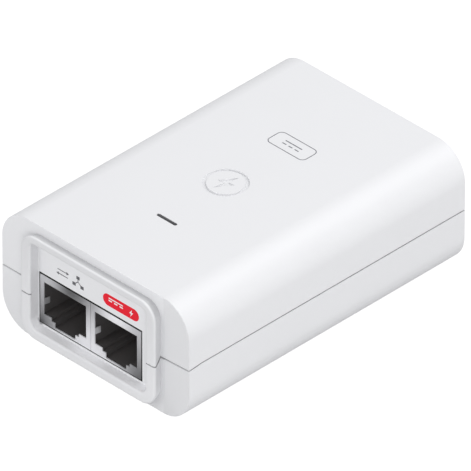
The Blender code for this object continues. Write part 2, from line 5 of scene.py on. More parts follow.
import bmesh
import bpy
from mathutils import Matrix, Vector


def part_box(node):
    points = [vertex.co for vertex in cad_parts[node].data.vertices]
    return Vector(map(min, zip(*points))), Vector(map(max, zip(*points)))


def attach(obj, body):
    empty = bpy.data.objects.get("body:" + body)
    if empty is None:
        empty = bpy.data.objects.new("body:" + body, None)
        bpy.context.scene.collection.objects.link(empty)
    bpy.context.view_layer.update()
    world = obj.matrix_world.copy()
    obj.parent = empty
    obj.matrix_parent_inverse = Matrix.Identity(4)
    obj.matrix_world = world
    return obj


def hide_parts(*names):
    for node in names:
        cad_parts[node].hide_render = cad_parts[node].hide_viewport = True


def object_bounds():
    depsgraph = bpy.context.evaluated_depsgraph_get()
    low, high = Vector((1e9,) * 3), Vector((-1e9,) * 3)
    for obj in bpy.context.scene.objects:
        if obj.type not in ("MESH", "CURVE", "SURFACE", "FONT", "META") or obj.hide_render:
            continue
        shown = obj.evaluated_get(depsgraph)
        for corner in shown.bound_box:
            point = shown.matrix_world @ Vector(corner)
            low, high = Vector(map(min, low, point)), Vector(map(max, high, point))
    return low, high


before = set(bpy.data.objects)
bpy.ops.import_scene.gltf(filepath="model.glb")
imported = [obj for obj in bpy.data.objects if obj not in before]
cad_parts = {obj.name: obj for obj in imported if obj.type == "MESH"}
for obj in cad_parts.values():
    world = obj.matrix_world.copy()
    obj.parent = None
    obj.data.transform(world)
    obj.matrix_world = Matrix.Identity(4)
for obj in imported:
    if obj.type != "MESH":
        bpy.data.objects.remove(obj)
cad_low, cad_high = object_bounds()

MM = 0.001

# Case, taken from the frame; the fine radii are the mould's own.
HALF_WIDTH = cad_high.x
CASE_TOP = cad_high.z - 0.02 * MM
LIP_FACE = cad_low.y
REAR = cad_high.y
LIP_DEPTH = 2.5 * MM
FRONT = LIP_FACE + LIP_DEPTH
CORNER = 8.2 * MM
END_ROUND = 0.2 * MM
WALL = 2.0 * MM
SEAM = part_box("bottom_shell")[1].z + 0.15 * MM
SEAM_GAP = 0.32 * MM
LIP_SEAM = 13.4 * MM
CLOSED_SEAM_GAP = 0.01 * MM

# Raised frame round the ports. It is widest at the parting line and a little undercut behind its face.
LIP_HALF_WIDTH = 21.35 * MM
LIP_BOTTOM = 1.85 * MM
LIP_TOP = 29.4 * MM
LIP_CORNER = 4.0 * MM
LIP_ROUND = 0.6 * MM
LIP_WAIST = 0.8 * MM
LIP_UNDERCUT = 0.5 * MM
RECESS_HALF_WIDTH = 18.0 * MM
RECESS_BOTTOM = 4.6 * MM
RECESS_TOP = 27.4 * MM
RECESS_CORNER = 1.4 * MM
RECESS_LOW_CORNER = 2.3 * MM
RECESS_ROUND = 0.6 * MM
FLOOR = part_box("lan_jack_shield")[0].y
FLOOR_ROUND = 0.25 * MM

# Points per quarter turn.
ARC_STEPS = 24
END_STEPS = 6
LIP_STEPS = 5

# Gap between the two cans and the case, and the slack of the black frame set in it as painted shade for the
# gap's shadow.
GAP_LEFT = 0.25 * MM
GAP_RIGHT = 0.4 * MM
GAP_BELOW = 0.28 * MM
GAP_ABOVE = 0.55 * MM
SHADOW_FRAME_SLACK = 0.01 * MM
FRONT_WALL = 1.6 * MM

# Jacks, measured inside one can from its lower front edge.
PORTS = ("lan", "poe")
SHEET = 0.25 * MM
SHEET_ROUND = 0.08 * MM
JOINT_CLOSING = 0.04 * MM
SHADOW_FRAME_SINK = 0.12 * MM
PORT_STEPS = ((6.6, 11.25, 2.6), (4.3, 2.6, 1.75), (3.2, 1.75, 0.55))
TAB_BOTTOM = 5.1 * MM
TAB_TOP = 6.7 * MM
TAB_LENGTH = 1.7 * MM
TAB_BEND = 0.35 * MM

# Painted reflections on the tin, standing in for the light it mirrors: middle (x, z), where each starts to
# fade, where it ends, how much paler it is.
TIN_PAINTED_REFLECTIONS = (
    ((-1.8 * MM, 4.5 * MM), 1 * MM, 8 * MM, 0.14),
    ((-1.8 * MM, 4.5 * MM), 4 * MM, 16 * MM, 0.48),
    ((6 * MM, 17.5 * MM), 0, 8 * MM, 0.44),
    ((-8 * MM, 18 * MM), 0, 8 * MM, -0.43),
    ((-17 * MM, 17 * MM), 0, 10 * MM, 0.09),
    ((-17 * MM, 5 * MM), 0, 6 * MM, -0.16),
    ((14 * MM, 5 * MM), 0, 8 * MM, -0.17),
    ((-2 * MM, 17 * MM), 0, 8 * MM, -0.16),
)

# Painted shade and light on the raised frame and the parting line's ledge: how much paler or deeper than plain
# white each face is; pairs run from low to high.
TOP_WALL_PAINTED_SHADE = -0.26
SIDE_WALL_PAINTED_SHADES = (-0.02, -0.14)
INNER_WALL_PAINTED_LIGHT_AND_SHADE = (0.10, -0.12)
LOW_WALL_PAINTED_LIGHT = 0.20
FACE_PAINTED_LIGHT_AND_SHADE = (0.03, -0.12)
BESIDE_PAINTED_SHADE = -0.08
LEDGE_PAINTED_SHADE = -0.30

# Spring wires, about the bend where each one turns.
WIRE_RADIUS = 0.19 * MM
HAIRPIN_RADIUS = 0.5 * MM
WIRE_BEND_Y = 4.2 * MM
WIRE_BEND_Z = 10.95 * MM
WIRE_REACH = 8.7 * MM
WIRE_SLOPE = math.radians(24)
WIRE_SIDES = 12

# Status window.
WINDOW_LENGTH = 6.1 * MM
WINDOW_WIDTH = 0.95 * MM
WINDOW_GAP = 0.06 * MM
WINDOW_SINK = 0.06 * MM

# Mains inlet.
INLET_CUT = 4.5 * MM
SOCKET_HALF_WIDTH = 12.1 * MM
SOCKET_HALF_HEIGHT = 8.2 * MM
SOCKET_CUT = 3.8 * MM
SOCKET_DEPTH = 14.0 * MM

# Prints lie this thick on the surface under them, and the mould's own mark is this deep.
INK = 0.015 * MM
MARK_DEPTH = 0.4 * MM
MARK_LINE = 0.9 * MM
MARK_RADIUS = 5.3 * MM
MARK_BOLT = 6.8 * MM
MARK_CENTRE = (0.0, -1.3 * MM)
BADGE_CENTRE = (0.4 * MM, 19.0 * MM)
BADGE_HALF_LENGTH = 5.85 * MM
BADGE_HALF_WIDTH = 2.65 * MM
BADGE_CORNER = 1.4 * MM
BADGE_LINE = 0.22 * MM
LABEL_HEIGHT = 21.7 * MM
GLYPH_X = -5.6 * MM
ARROWS_X = -10.4 * MM
PILL_X = 7.8 * MM
PILL_HALF_LENGTH = 5.6 * MM
PILL_HALF_HEIGHT = 1.55 * MM

# Camera: lens and sensor in millimetres, and what the picture takes in at the object's middle.
LENS = 1400.0
SENSOR = 36.0
PICTURE_WIDTH = 104.05 * MM
SHIFT_RIGHT = 0.31 * MM
SHIFT_UP = 0.04 * MM
AZIMUTH = math.radians(45)
ELEVATION = math.atan(1 / math.sqrt(2))

# Stage: the sheet's grey, its glow and how much of that the camera sees; the room's even light.
PAPER_GREY = 0.66
PAPER_GLOW = 1.15
GLOW_SHARE = 0.9
ROOM_COLOUR = (0.985, 0.99, 1.0, 1)
ROOM_LIGHT = 0.64

# Softboxes: name, place, width, height, power, and the kind of ray that passes it by.
SOFTBOXES = (
    ("key_softbox", (0.35, 0.38, 0.72), 0.45, 0.45, 3.0, "visible_glossy"),
    ("edge_softbox", (0.18, 0.52, 0.71), 0.55, 0.55, 1.2, "visible_diffuse"),
    ("right_fill", (0.55, -0.60, 0.25), 0.4, 0.3, 1.45, "visible_glossy"),
    ("front_fill", (-0.20, -0.75, 0.40), 0.4, 0.4, 1.15, "visible_glossy"),
)


# ---------------------------------------------------------------- shader groups


def new_group(name, inputs, outputs):
    """An empty shader node group with float inputs {name: default} and outputs {name: socket type}."""
    group = bpy.data.node_groups.new(name, "ShaderNodeTree")
    for label, default in inputs.items():
        socket = group.interface.new_socket(label, in_out="INPUT", socket_type="NodeSocketFloat")
        socket.default_value = default
    for label, kind in outputs.items():
        group.interface.new_socket(label, in_out="OUTPUT", socket_type=kind)
    return group, group.nodes.new("NodeGroupInput"), group.nodes.new("NodeGroupOutput")


def noise(tree, place, scale, detail=2.0, roughness=0.5):
    """A 3D noise on object coordinates; scale may be a number or an output to link."""
    node = tree.nodes.new("ShaderNodeTexNoise")
    node.inputs["Detail"].default_value = detail
    node.inputs["Roughness"].default_value = roughness
    tree.links.new(place, node.inputs["Vector"])
    if isinstance(scale, (int, float)):
        node.inputs["Scale"].default_value = scale
    else:
        tree.links.new(scale, node.inputs["Scale"])
    return node.outputs["Fac"]


def reckon(tree, operation, first, second, third=None):
    """A Math node; each operand is a number or an output."""
    node = tree.nodes.new("ShaderNodeMath")
    node.operation = operation
    for i, value in enumerate((first, second, third)):
        if value is None:
            continue
        if isinstance(value, (int, float)):
            node.inputs[i].default_value = value
        else:
            tree.links.new(value, node.inputs[i])
    return node.outputs[0]


def ramp_between(tree, value, low, high, to_low=0.0, to_high=1.0, smooth=True):
    """Maps value from low..high to to_low..to_high, clamped."""
    node = tree.nodes.new("ShaderNodeMapRange")
    node.interpolation_type = "SMOOTHSTEP" if smooth else "LINEAR"
    tree.links.new(value, node.inputs["Value"])
    node.inputs["From Min"].default_value = low
    node.inputs["From Max"].default_value = high
    node.inputs["To Min"].default_value = to_low
    node.inputs["To Max"].default_value = to_high
    return node.outputs["Result"]


def scaled_place(tree, place, factors):
    node = tree.nodes.new("ShaderNodeVectorMath")
    node.operation = "MULTIPLY"
    node.inputs[1].default_value = factors
    tree.links.new(place, node.inputs[0])
    return node.outputs["Vector"]


def distance_from(tree, place, point):
    node = tree.nodes.new("ShaderNodeVectorMath")
    node.operation = "DISTANCE"
    node.inputs[1].default_value = point
    tree.links.new(place, node.inputs[0])
    return node.outputs["Value"]


def moulded_grain_group():
    """Fine spark-eroded texture of a moulding: a height, and a slow and a fine variation about 1."""
    inputs = {"Grain Scale": 5000.0, "Mottle Scale": 60.0, "Mottle": 0.01}
    outputs = {"Height": "NodeSocketFloat", "Tone": "NodeSocketFloat", "Gloss": "NodeSocketFloat"}
    group, given, made = new_group("moulded_grain", inputs, outputs)
    place = group.nodes.new("ShaderNodeTexCoord").outputs["Object"]
    grain = noise(group, place, given.outputs["Grain Scale"], 3.0, 0.6)
    slow = noise(group, place, given.outputs["Mottle Scale"], 2.0)
    offset = reckon(group, "SUBTRACT", slow, 0.5)
    tone = reckon(group, "MULTIPLY_ADD", offset, given.outputs["Mottle"], 1.0)
    slow_gloss = ramp_between(group, slow, 0.3, 0.7, -0.5, 0.5)
    fine_gloss = ramp_between(group, grain, 0.2, 0.8, -0.5, 0.5)
    gloss = reckon(group, "ADD", slow_gloss, fine_gloss)
    group.links.new(grain, made.inputs["Height"])
    group.links.new(tone, made.inputs["Tone"])
    group.links.new(gloss, made.inputs["Gloss"])
    return group


def rolled_sheet_group():
    """Streaks of rolled or drawn metal along X: a height, and a tone about 1."""
    inputs = {"Streak Scale": 900.0, "Streak": 0.06}
    outputs = {"Height": "NodeSocketFloat", "Tone": "NodeSocketFloat"}
    group, given, made = new_group("rolled_sheet", inputs, outputs)
    place = group.nodes.new("ShaderNodeTexCoord").outputs["Object"]
    stretch = scaled_place(group, place, (0.04, 1.0, 1.0))
    streak = noise(group, stretch, given.outputs["Streak Scale"], 3.0, 0.6)
    offset = reckon(group, "SUBTRACT", streak, 0.5)
    group.links.new(streak, made.inputs["Height"])
    group.links.new(reckon(group, "MULTIPLY_ADD", offset, given.outputs["Streak"], 1.0), made.inputs["Tone"])
    return group


def tin_painted_reflection_and_mottle_group():
    """Painted reflection on the tin over both cans, standing in for the light it mirrors: palest low in the
    middle, dull at the lower outer corners, paler higher up; a fine random mottle on top.
    """
    group, _given, made = new_group("tin_painted_reflection_and_mottle", {}, {"Tone": "NodeSocketFloat"})
    place = group.nodes.new("ShaderNodeTexCoord").outputs["Object"]
    parts = group.nodes.new("ShaderNodeSeparateXYZ")
    group.links.new(place, parts.inputs[0])
    flat = scaled_place(group, place, (1.0, 0.0, 1.0))
    # Painted reflection: paler with height, plus one patch per entry.
    tone = reckon(group, "MULTIPLY_ADD", parts.outputs["Z"], 20.8, 0.19)
    for middle, inner, outer, amount in TIN_PAINTED_REFLECTIONS:
        away = distance_from(group, flat, (middle[0], 0, middle[1]))
        tone = reckon(group, "ADD", tone, ramp_between(group, away, inner, outer, amount, 0.0))
    mottle = reckon(group, "MULTIPLY_ADD", noise(group, place, 260.0, 3.0), 0.08, -0.04)
    tone = reckon(group, "ADD", tone, mottle)
    limited = reckon(group, "MINIMUM", reckon(group, "MAXIMUM", tone, 0.08), 1.0)
    group.links.new(limited, made.inputs["Tone"])
    return group


def painted_frame_shade_group():
    """Painted shade and light on the case: deeper on the frame's steep walls and the parting line's ledge,
    dull on its face and on the front beside it, paler on the recess's low wall.
    """
    group, _given, made = new_group("painted_frame_shade", {}, {"Tone": "NodeSocketFloat"})
    parts = group.nodes.new("ShaderNodeSeparateXYZ")
    group.links.new(group.nodes.new("ShaderNodeTexCoord").outputs["Object"], parts.inputs[0])
    facing = group.nodes.new("ShaderNodeSeparateXYZ")
    group.links.new(group.nodes.new("ShaderNodeNewGeometry").outputs["Normal"], facing.inputs[0])
    x, y, z = (parts.outputs[axis] for axis in "XYZ")

    def times(*factors):
        product = factors[0]
        for factor in factors[1:]:
            product = reckon(group, "MULTIPLY", product, factor)
        return product

    sideways = reckon(group, "ABSOLUTE", x, 0)
    upward = reckon(group, "MAXIMUM", facing.outputs["Z"], 0)
    rightward = reckon(group, "MAXIMUM", facing.outputs["X"], 0)
    behind_face = ramp_between(group, y, LIP_FACE + 0.35 * MM, LIP_FACE + 0.75 * MM, 0, 1)
    before_floor = ramp_between(group, y, FLOOR - 0.15 * MM, FLOOR, 1, 0)
    near_frame = ramp_between(group, sideways, LIP_HALF_WIDTH + 0.1 * MM, LIP_HALF_WIDTH + 0.3 * MM, 1, 0)
    under_top = ramp_between(group, z, LIP_TOP + 0.1 * MM, LIP_TOP + 0.3 * MM, 1, 0)
    outside = ramp_between(group, sideways, 18.8 * MM, 19.2 * MM, 0, 1)
    # Painted shade on the frame's walls, painted light on the recess's low wall.
    top_wall = times(upward, ramp_between(group, z, 9 * MM, 12 * MM, 0, TOP_WALL_PAINTED_SHADE))
    side_wall = times(rightward, outside, ramp_between(group, z, 5 * MM, 10 * MM, *SIDE_WALL_PAINTED_SHADES))
    inner_wall = times(rightward, ramp_between(group, sideways, 18.8 * MM, 19.2 * MM, 1, 0))
    inner_wall = times(inner_wall, ramp_between(group, z, 10 * MM, 24 * MM, *INNER_WALL_PAINTED_LIGHT_AND_SHADE))
    low_wall = times(upward, ramp_between(group, z, 9 * MM, 12 * MM, LOW_WALL_PAINTED_LIGHT, 0))
    walls = top_wall
    for wall in (side_wall, inner_wall, low_wall):
        walls = reckon(group, "ADD", walls, wall)
    walls = times(walls, behind_face, before_floor, near_frame, under_top)
    # Painted shade on the frame's face and on the front beside its right edge.
    face = ramp_between(group, y, LIP_FACE + 0.05 * MM, LIP_FACE + 0.25 * MM, 1, 0)
    face = times(face, ramp_between(group, z, 3 * MM, 27 * MM, *FACE_PAINTED_LIGHT_AND_SHADE, smooth=False))
    forward = ramp_between(group, y, FRONT + 0.05 * MM, FRONT + 0.25 * MM, 1, 0)
    edge = LIP_HALF_WIDTH
    beside = times(forward, ramp_between(group, x, edge - 0.4 * MM, edge + 0.4 * MM, 0, BESIDE_PAINTED_SHADE))
    # Painted shade on the ledge inside the parting line's gap.
    ledge = times(upward, ramp_between(group, z, LIP_SEAM - 0.4 * MM, LIP_SEAM - 0.3 * MM, 0, 1))
    ledge = times(ledge, ramp_between(group, z, SEAM, SEAM + 0.1 * MM, LEDGE_PAINTED_SHADE, 0))
    ledge = times(ledge, ramp_between(group, sideways, RECESS_HALF_WIDTH, RECESS_HALF_WIDTH + 0.2 * MM, 0, 1))
    tone = walls
    for part in (face, beside, ledge):
        tone = reckon(group, "ADD", tone, part)
    tone = reckon(group, "ADD", tone, 1.0)
    group.links.new(tone, made.inputs["Tone"])
    return group


def board_pattern_group():
    """Copper tracks under solder mask, and bare pads: two masks."""
    outputs = {"Track": "NodeSocketFloat", "Pad": "NodeSocketFloat"}
    group, _given, made = new_group("board_pattern", {}, outputs)
    place = group.nodes.new("ShaderNodeTexCoord").outputs["Object"]
    brick = group.nodes.new("ShaderNodeTexBrick")
    brick.inputs["Scale"].default_value = 90.0
    brick.inputs["Mortar Size"].default_value = 0.03
    brick.inputs["Brick Width"].default_value = 0.9
    group.links.new(place, brick.inputs["Vector"])
    cells = group.nodes.new("ShaderNodeTexVoronoi")
    cells.inputs["Scale"].default_value = 260.0
    group.links.new(place, cells.inputs["Vector"])
    group.links.new(brick.outputs["Fac"], made.inputs["Track"])
    group.links.new(ramp_between(group, cells.outputs["Distance"], 0.12, 0.16, 1.0, 0.0), made.inputs["Pad"])
    return group


def winding_group():
    """Turns of wire side by side: a height, and a tone about 1 that darkens the troughs between turns as
    painted shade.
    """
    outputs = {"Height": "NodeSocketFloat", "Tone": "NodeSocketFloat"}
    group, given, made = new_group("winding", {"Turn Scale": 900.0}, outputs)
    place = group.nodes.new("ShaderNodeTexCoord").outputs["Object"]
    wave = group.nodes.new("ShaderNodeTexWave")
    wave.bands_direction = "Y"
    wave.inputs["Distortion"].default_value = 0.6
    group.links.new(place, wave.inputs["Vector"])
    group.links.new(given.outputs["Turn Scale"], wave.inputs["Scale"])
    group.links.new(wave.outputs["Fac"], made.inputs["Height"])
    # Painted shade: darker in the troughs between turns.
    tone = ramp_between(group, wave.outputs["Fac"], 0, 1, 0.45, 1.1)
    group.links.new(tone, made.inputs["Tone"])
    return group


# ---------------------------------------------------------------- materials


def new_material(name, roughness, metallic=0.0, specular=0.5):
    material = bpy.data.materials.new(name)
    material.use_nodes = True
    shader = material.node_tree.nodes["Principled BSDF"]
    shader.inputs["Roughness"].default_value = roughness
    shader.inputs["Metallic"].default_value = metallic
    shader.inputs["Specular IOR Level"].default_value = specular
    return material, material.node_tree, shader


def place_group(tree, group, **values):
    """The group in a material, with its inputs set by name (underscores stand for spaces)."""
    node = tree.nodes.new("ShaderNodeGroup")
    node.node_tree = group
    for label, value in values.items():
        node.inputs[label.replace("_", " ")].default_value = value
    return node


def tint(tree, colour, tone):
    """The colour times a tone that varies over the surface."""
    node = tree.nodes.new("ShaderNodeVectorMath")
    node.operation = "SCALE"
    node.inputs[0].default_value = colour
    tree.links.new(tone, node.inputs["Scale"])
    return node.outputs["Vector"]


def add_bump(tree, shader, height, depth):
    bump = tree.nodes.new("ShaderNodeBump")
    bump.inputs["Distance"].default_value = depth
    tree.links.new(height, bump.inputs["Height"])
    tree.links.new(bump.outputs["Normal"], shader.inputs["Normal"])


def moulded_plastic(
    name, colour, roughness, grain_scale=5000.0, grain_depth=0.006 * MM, mottle=0.02, specular=0.5
):
    """Plastic with the fine texture of its mould."""
    material, tree, shader = new_material(name, roughness, specular=specular)
    grain = place_group(tree, GRAIN, Grain_Scale=grain_scale, Mottle=mottle)
    tree.links.new(tint(tree, colour, grain.outputs["Tone"]), shader.inputs["Base Color"])
    rough = reckon(tree, "MULTIPLY_ADD", grain.outputs["Gloss"], 0.06, roughness)
    tree.links.new(rough, shader.inputs["Roughness"])
    add_bump(tree, shader, grain.outputs["Height"], grain_depth)
    return material


def sheet_metal(name, colour, roughness, streak=0.06, streak_depth=0.002 * MM):
    """Rolled sheet with faint streaks."""
    material, tree, shader = new_material(name, roughness, metallic=1.0)
    sheet = place_group(tree, ROLLED, Streak=streak)
    tree.links.new(tint(tree, colour, sheet.outputs["Tone"]), shader.inputs["Base Color"])
    rough = reckon(tree, "MULTIPLY_ADD", sheet.outputs["Height"], 0.15, roughness - 0.07)
    tree.links.new(rough, shader.inputs["Roughness"])
    add_bump(tree, shader, sheet.outputs["Height"], streak_depth)
    return material


def case_plastic(name, colour, roughness):
    """The case's white plastic, with painted shade on the walls of its raised frame and painted light on the
    recess's low wall.
    """
    material, tree, shader = new_material(name, roughness, specular=0.5)
    grain = place_group(tree, GRAIN, Grain_Scale=5000.0, Mottle=0.02)
    painted_shade = place_group(tree, PAINTED_FRAME_SHADE)
    tone = reckon(tree, "MULTIPLY", grain.outputs["Tone"], painted_shade.outputs["Tone"])
    tree.links.new(tint(tree, colour, tone), shader.inputs["Base Color"])
    add_bump(tree, shader, grain.outputs["Height"], 0.003 * MM)
    return material


def printed_ink(name, colour, roughness=0.5):
    """Pad-printed ink, a touch uneven."""
    return moulded_plastic(name, colour, roughness, 9000.0, 0.002 * MM, mottle=0.10, specular=0.2)


def tin_with_painted_reflections(name, colour, roughness):
    """Drawn tin plate with painted reflections standing in for the light it mirrors."""
    material, tree, shader = new_material(name, roughness, metallic=0.25)
    painted_reflection_and_mottle = place_group(tree, TIN_REFLECTION_AND_MOTTLE)
    sheet = place_group(tree, ROLLED, Streak=0.05)
    tone = reckon(tree, "MULTIPLY", painted_reflection_and_mottle.outputs["Tone"], sheet.outputs["Tone"])
    tree.links.new(tint(tree, colour, tone), shader.inputs["Base Color"])
    rough = reckon(tree, "MULTIPLY_ADD", sheet.outputs["Height"], 0.12, roughness - 0.06)
    tree.links.new(rough, shader.inputs["Roughness"])
    add_bump(tree, shader, sheet.outputs["Height"], 0.002 * MM)
    return material


def circuit_board(name):
    """Green solder mask over tracks, with tinned pads."""
    material, tree, shader = new_material(name, 0.35)
    pattern = place_group(tree, BOARD)
    masked = tree.nodes.new("ShaderNodeMix")
    masked.data_type = "RGBA"
    masked.inputs["A"].default_value = (0.012, 0.12, 0.05, 1)
    masked.inputs["B"].default_value = (0.03, 0.22, 0.10, 1)
    tree.links.new(pattern.outputs["Track"], masked.inputs["Factor"])
    padded = tree.nodes.new("ShaderNodeMix")
    padded.data_type = "RGBA"
    padded.inputs["B"].default_value = (0.62, 0.62, 0.64, 1)
    tree.links.new(pattern.outputs["Pad"], padded.inputs["Factor"])
    tree.links.new(masked.outputs["Result"], padded.inputs["A"])
    tree.links.new(padded.outputs["Result"], shader.inputs["Base Color"])
    tree.links.new(pattern.outputs["Pad"], shader.inputs["Metallic"])
    add_bump(tree, shader, pattern.outputs["Track"], 0.03 * MM)
    return material


def wound_wire(name, colour, metallic):
    """A coil's outside: turns side by side, with painted shade in the troughs between them."""
    material, tree, shader = new_material(name, 0.3, metallic=metallic)
    turns = place_group(tree, WINDING)
    tree.links.new(tint(tree, colour, turns.outputs["Tone"]), shader.inputs["Base Color"])
    add_bump(tree, shader, turns.outputs["Height"], 0.1 * MM)
    return material


# ---------------------------------------------------------------- mesh tools


def add_piece(name, bm, material, smooth_angle=35):
    """An object from a bmesh, faces out, smooth but for its sharp edges."""
    bmesh.ops.recalc_face_normals(bm, faces=bm.faces)
    mesh = bpy.data.meshes.new(name)
    bm.to_mesh(mesh)
    bm.free()
    mesh.shade_smooth()
    mesh.set_sharp_from_angle(angle=math.radians(smooth_angle))
    piece = bpy.data.objects.new(name, mesh)
    bpy.context.scene.collection.objects.link(piece)
    piece.data.materials.append(material)
    return piece


def loft(rings, capped=True):
    """A bmesh through rings of equally many points."""
    bm = bmesh.new()
    loops = [[bm.verts.new(point) for point in ring] for ring in rings]
    for near, far in zip(loops, loops[1:]):
        for i in range(len(near)):
            j = (i + 1) % len(near)
            bm.faces.new((near[i], near[j], far[j], far[i]))
    if capped:
        bm.faces.new(loops[0])
        bm.faces.new(reversed(loops[-1]))
    return bm


def box(low, high):
    corners = ((low[0], low[1]), (high[0], low[1]), (high[0], high[1]), (low[0], high[1]))
    return loft([[(x, y, z) for x, y in corners] for z in (low[2], high[2])])


def rounded_rectangle(half_width, bottom, top, radius, steps, low_radius=None):
    """(x, z) points round a rectangle that is centred in X; its lower corners may have their own radius."""
    low = radius if low_radius is None else low_radius
    corners = (
        (half_width - radius, top - radius, radius),
        (-half_width + radius, top - radius, radius),
        (-half_width + low, bottom + low, low),
        (half_width - low, bottom + low, low),
    )
    points = []
    for quarter, (x, z, turn_radius) in enumerate(corners):
        for i in range(steps + 1):
            angle = math.pi / 2 * (quarter + i / steps)
            points.append((x + turn_radius * math.cos(angle), z + turn_radius * math.sin(angle)))
    return points


def prism_along_y(outline, front, rear):
    return loft([[(x, y, z) for x, z in outline] for y in (front, rear)])


def prism_along_z(outline, bottom, top):
    return loft([[(x, y, z) for x, y in outline] for z in (bottom, top)])


def carve(piece, tool_mesh, operation="DIFFERENCE"):
    """Cuts or joins a bmesh into a piece for good."""
    tool = add_piece("tool", tool_mesh, piece.data.materials[0])
    modifier = piece.modifiers.new("carve", "BOOLEAN")
    modifier.operation = operation
    modifier.solver = "EXACT"
    modifier.object = tool
    bpy.context.view_layer.update()
    shaped = bpy.data.meshes.new_from_object(piece.evaluated_get(bpy.context.evaluated_depsgraph_get()))
    piece.modifiers.clear()
    old = piece.data
    piece.data = shaped
    shaped.name = piece.name
    bpy.data.meshes.remove(old)
    bpy.data.objects.remove(tool)


def settle_shading(piece, angle=35):
    """Marks the sharp edges again after carving and lets the large faces rule the normals."""
    piece.data.shade_smooth()
    piece.data.set_sharp_from_angle(angle=math.radians(angle))
    weighted = piece.modifiers.new("weighted", "WEIGHTED_NORMAL")
    weighted.keep_sharp = True
    weighted.weight = 100


def soften(piece, width, segments=2, angle=40):
    """A small bevel on every sharp edge."""
    bevel = piece.modifiers.new("soften", "BEVEL")
    bevel.width = width
    bevel.segments = segments
    bevel.limit_method = "ANGLE"
    bevel.angle_limit = math.radians(angle)
    bevel.harden_normals = False


# ---------------------------------------------------------------- case mouldings


def case_rings():
    """Rings of the outer skin, from the rear face forward, round the raised frame and into the recess."""
    rings = []

    def ring(half_width, bottom, top, radius, y, waist=0.0, low_radius=None):
        outline = rounded_rectangle(half_width, bottom, top, radius, ARC_STEPS, low_radius)
        middle = (bottom + top) / 2
        reach = (top - bottom) / 2
        points = []
        for x, z in outline:
            draw_in = waist * ((z - middle) / reach) ** 2
            points.append((x - math.copysign(draw_in, x), y, z))
        rings.append(points)

    def body_ring(inset, y):
        ring(HALF_WIDTH - inset, inset, CASE_TOP - inset, CORNER - inset, y)

    def lip_ring(inset, y):
        ring(LIP_HALF_WIDTH - inset, LIP_BOTTOM + inset, LIP_TOP - inset, LIP_CORNER - inset, y, LIP_WAIST)

    def recess_ring(inset, y):
        bottom, top = RECESS_BOTTOM + inset, RECESS_TOP - inset
        low_corner = RECESS_LOW_CORNER - inset
        ring(RECESS_HALF_WIDTH - inset, bottom, top, RECESS_CORNER - inset, y, low_radius=low_corner)

    for inset, along in quarter_turn(END_ROUND, END_STEPS):
        body_ring(inset, REAR - along)
    for inset, along in reversed(quarter_turn(END_ROUND, END_STEPS)):
        body_ring(inset, FRONT + along)
    lip_ring(LIP_UNDERCUT, FRONT)
    for inset, along in reversed(quarter_turn(LIP_ROUND, LIP_STEPS)):
        lip_ring(inset, LIP_FACE + along)
    for inset, along in quarter_turn(RECESS_ROUND, LIP_STEPS):
        recess_ring(-inset, LIP_FACE + along)
    for inset, along in reversed(quarter_turn(FLOOR_ROUND, LIP_STEPS)):
        recess_ring(inset, FLOOR - along)
    return rings


def quarter_turn(radius, steps):
    """(inset, along) pairs of a rounded edge, from the end face to the side."""
    pairs = []
    for i in range(steps + 1):
        turn = math.pi / 2 * i / steps
        pairs.append((radius * (1 - math.sin(turn)), radius * (1 - math.cos(turn))))
    return pairs


def inlet_outline(low, high, cut, grow=0.0):
    """(x, z) points of the inlet's shape, with two corners cut off at the top."""
    left, right = low[0] - grow, high[0] + grow
    bottom, top = low[1] - grow, high[1] + grow
    shoulder = top - cut
    upper = ((right, shoulder), (right - cut, top), (left + cut, top), (left, shoulder))
    return ((left, bottom), (right, bottom)) + upper


def half_space(side):
    """Everything beyond the parting line: above it for side 1, below it for side -1.

    The line sinks a little over the front end and drops along the wall of the raised frame.
    It closes up inside the recess.
    """
    far = 0.2
    limit = side * 0.1
    inside = RECESS_HALF_WIDTH + 0.02 * MM
    # Place in X, how open the line is, and how far it sinks over the front end.
    sections = (
        (-far, SEAM_GAP, 0.75 * MM),
        (-inside, SEAM_GAP, 0.65 * MM),
        (-inside + 0.02 * MM, CLOSED_SEAM_GAP, 0.65 * MM),
        (inside - 0.02 * MM, CLOSED_SEAM_GAP, 0.9 * MM),
        (inside, SEAM_GAP, 0.9 * MM),
        (HALF_WIDTH, SEAM_GAP, 0.3 * MM),
        (far, SEAM_GAP, 0.3 * MM),
    )
    rings = []
    for x, gap, drop in sections:
        lift = -side * gap / 2
        path = (
            (-far, LIP_SEAM + lift),
            (LIP_FACE + LIP_ROUND - lift, LIP_SEAM + lift),
            (FRONT - lift, SEAM - drop + lift),
            (FRONT + 0.5 * MM, SEAM - drop + lift),
            (FRONT + 4 * MM, SEAM + lift),
            (far, SEAM + lift),
            (far, limit),
            (-far, limit),
        )
        rings.append([(x, y, z) for y, z in path])
    return loft(rings)


def stadium(centre, length, width, steps=12):
    """(x, y) points of a slot with round ends, long in X."""
    radius = width / 2
    points = []
    for side in (1, -1):
        for i in range(steps + 1):
            angle = -math.pi / 2 * side + math.pi * i / steps
            x = side * (length / 2 - radius)
            points.append((centre[0] + x + radius * math.cos(angle), centre[1] + radius * math.sin(angle)))
    return points


